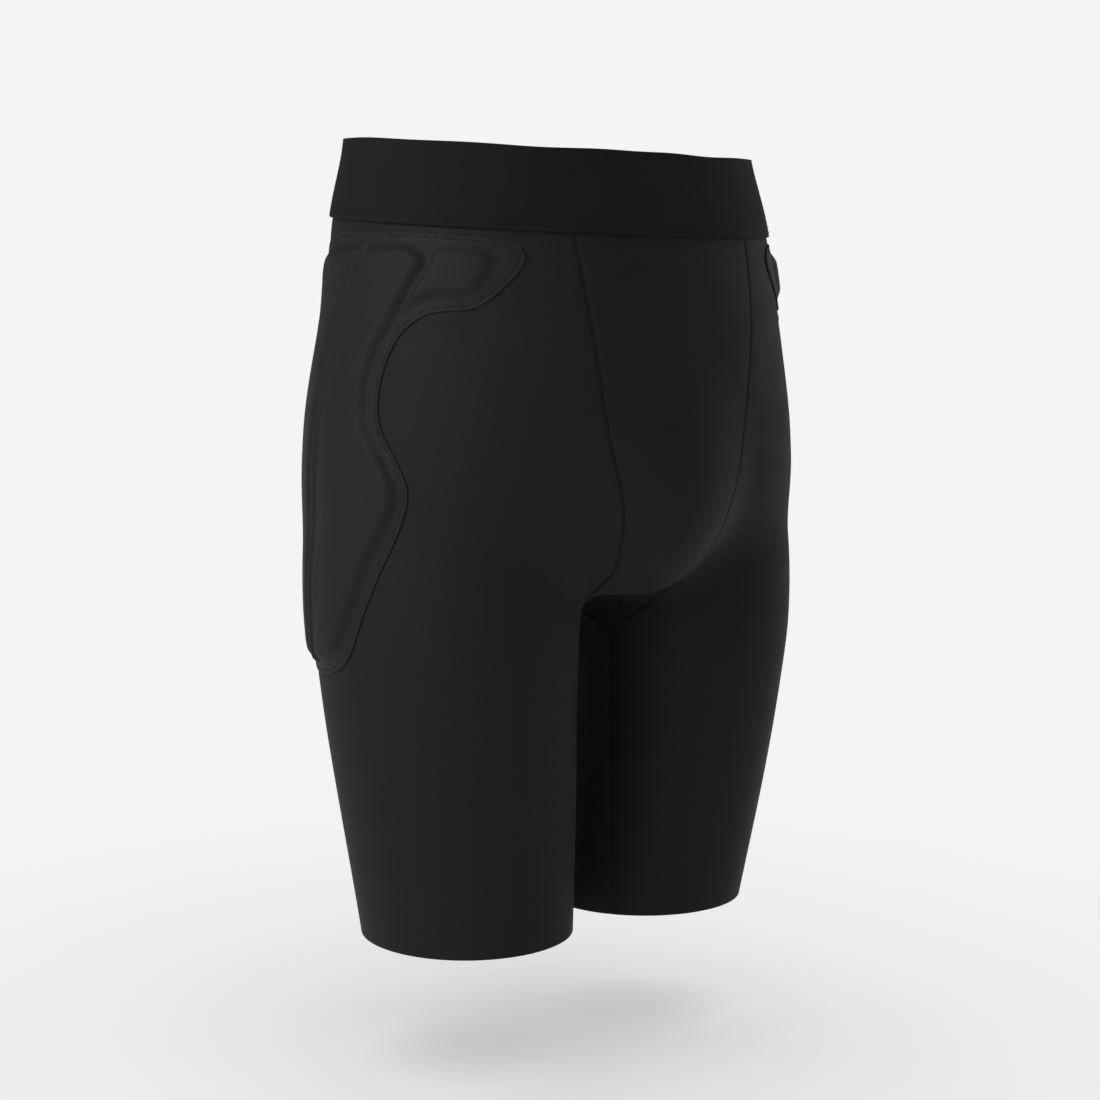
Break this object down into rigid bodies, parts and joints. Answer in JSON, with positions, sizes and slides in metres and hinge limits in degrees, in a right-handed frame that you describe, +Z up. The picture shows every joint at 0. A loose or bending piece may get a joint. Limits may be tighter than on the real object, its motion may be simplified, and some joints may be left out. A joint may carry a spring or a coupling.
{
  "type": "padded impact shorts",
  "caption": "Fitted knee-length under-shorts with a wide elastic waist and foam pads sewn under fabric covers at the hips, seat and tailbone.",
  "frame": {"origin": "middle of the waist opening, at the level of the waistband's top edge", "axes": "+Z up, -Y the way the wearer faces, +X the wearer's left"},
  "size_m": [0.3576, 0.2461, 0.4905],
  "materials": {
    "shell_knit": "matte stretch knit with fine cross ribs",
    "cover_knit": "matte stretch knit, drawn over the pads",
    "waist_elastic": "woven elastic webbing, slightly heathered",
    "thread": "polyester sewing thread",
    "tape": "smooth bonded tape",
    "foam": "closed-cell foam"
  },
  "bodies": {
    "root": {"left_leg_panel": "shell_knit", "right_leg_panel": "shell_knit", "front_panel": "shell_knit", "crotch_gusset": "shell_knit", "seat_panel": "shell_knit", "waistband_elastic": "waist_elastic", "waistband_join_tape": "tape", "waistband_stitching": "thread", "left_hem_tape": "tape", "right_hem_tape": "tape", "left_front_seam": "thread", "left_back_seam": "thread", "left_inseam": "thread", "right_front_seam": "thread", "right_back_seam": "thread", "right_inseam": "thread", "front_gusset_seam": "thread", "rear_gusset_seam": "thread", "left_hip_pad_front": "foam", "left_hip_pad_side": "foam", "left_hip_pad_rear": "foam", "left_hip_pad_cover": "cover_knit", "left_hip_pad_stitching": "thread", "right_hip_pad_front": "foam", "right_hip_pad_side": "foam", "right_hip_pad_rear": "foam", "right_hip_pad_cover": "cover_knit", "right_hip_pad_stitching": "thread", "tailbone_pad": "foam", "left_seat_pad": "foam", "right_seat_pad": "foam", "seat_pad_cover": "cover_knit", "seat_pad_stitching": "thread"}
  },
  "joints": []
}
